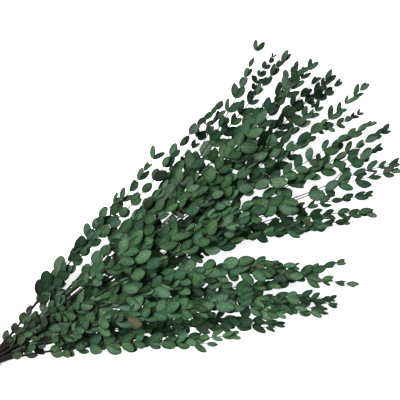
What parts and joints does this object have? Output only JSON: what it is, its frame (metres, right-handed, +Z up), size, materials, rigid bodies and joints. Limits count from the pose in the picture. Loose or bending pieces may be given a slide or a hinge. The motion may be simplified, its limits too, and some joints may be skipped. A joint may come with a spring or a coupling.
{
  "type": "bunch of dried eucalyptus",
  "caption": "Tied bunch of dried eucalyptus stems lying down, fanned out, with small oval grey-green leaves in opposite pairs on thin dark stems.",
  "frame": {"origin": "on the surface that the bunch lies on, under the middle of its bounding box", "axes": "+X along the bunch from the cut stem ends to the leafy tips, +Y across the fan, +Z up"},
  "size_m": [0.7544, 0.4182, 0.1096],
  "materials": {
    "foliage": "dried and preserved leaf, dark grey-green, matt with a faint waxy sheen",
    "stem_bark": "thin dry bark, near-black brown, matt",
    "binding": "natural jute twine, rough and matt"
  },
  "bodies": {
    "root": {"binding_twine": "binding", "branch_01": "foliage", "branch_02": "foliage", "branch_03": "foliage", "branch_04": "foliage", "branch_05": "foliage", "branch_06": "foliage", "branch_07": "foliage", "branch_08": "foliage", "branch_09": "foliage", "branch_10": "foliage", "branch_11": "foliage", "branch_12": "foliage", "branch_13": "foliage", "branch_14": "foliage", "branch_15": "foliage", "branch_16": "foliage", "branch_17": "foliage", "branch_18": "foliage", "branch_19": "foliage"}
  },
  "joints": []
}
